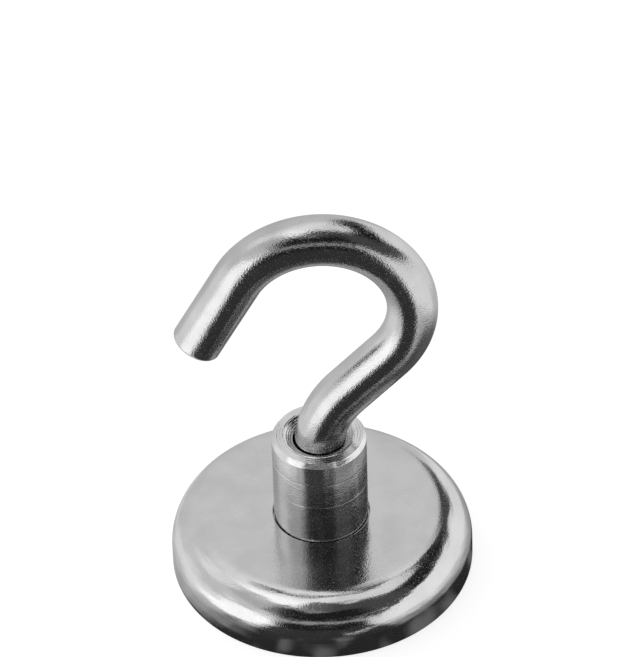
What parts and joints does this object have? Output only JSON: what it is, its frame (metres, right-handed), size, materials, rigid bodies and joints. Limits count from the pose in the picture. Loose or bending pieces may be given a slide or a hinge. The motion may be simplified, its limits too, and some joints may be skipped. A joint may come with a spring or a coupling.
{
  "type": "magnetic hook",
  "caption": "Round steel pot magnet with a threaded boss on its flat face and a bent wire hook screwed into the boss, for hanging light things from a steel surface.",
  "frame": {"origin": "centre of the magnet face, where the cup's rim meets the steel surface that it holds to", "axes": "+Z along the cup's axis, away from the steel surface and towards the hook; the hook lies in the XZ plane with its tip towards -X"},
  "size_m": [0.032, 0.032, 0.0465],
  "materials": {
    "cup_nickel": "polished",
    "boss_nickel": "polished",
    "hook_nickel": "polished",
    "magnet_nickel": "satin",
    "epoxy_resin": "satin"
  },
  "bodies": {
    "base": {"steel_cup": "cup_nickel", "threaded_boss": "boss_nickel", "magnet": "magnet_nickel", "resin_fill": "epoxy_resin"},
    "hook": {"hook": "hook_nickel"}
  },
  "joints": [
    {"name": "hook_turn", "type": "hinge", "parent": "base", "child": "hook", "pos_m": [0, 0, 0.012], "axis": [0, 0, 1], "range_deg": [0, 450]}
  ]
}
